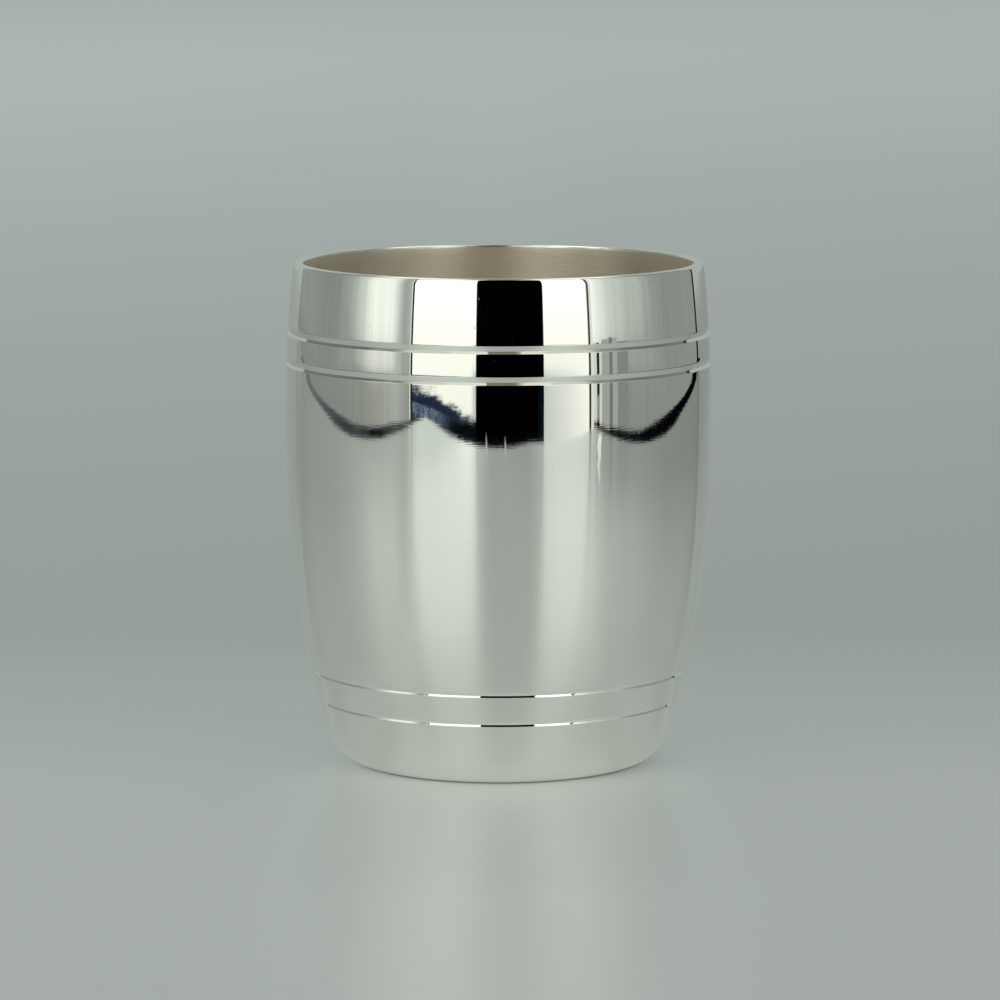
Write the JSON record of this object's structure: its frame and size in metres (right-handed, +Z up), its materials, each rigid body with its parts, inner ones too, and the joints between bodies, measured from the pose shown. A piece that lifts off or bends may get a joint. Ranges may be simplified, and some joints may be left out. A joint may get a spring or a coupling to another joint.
{
  "type": "julep cup",
  "caption": "Barrel-shaped metal julep cup with paired turned hoop lines near the mouth and foot, a thickened plain lip and a soldered-in base disc.",
  "frame": {"origin": "centre of the foot, on the plane that the cup stands on", "axes": "+Z up along the cup's axis of revolution, out of the mouth; the cup is round, so +X and +Y are any two directions across it"},
  "size_m": [0.0752, 0.0752, 0.0889],
  "materials": {
    "polished_silver": "sterling silver, mirror polished outside and satin inside",
    "satin_silver": "sterling silver, satin",
    "silver_solder": "hard silver solder, cleaned up to satin"
  },
  "bodies": {
    "root": {"barrel_wall": "polished_silver", "base_disc": "satin_silver", "lip_ring": "satin_silver", "base_solder": "silver_solder", "lip_solder": "silver_solder"}
  },
  "joints": []
}
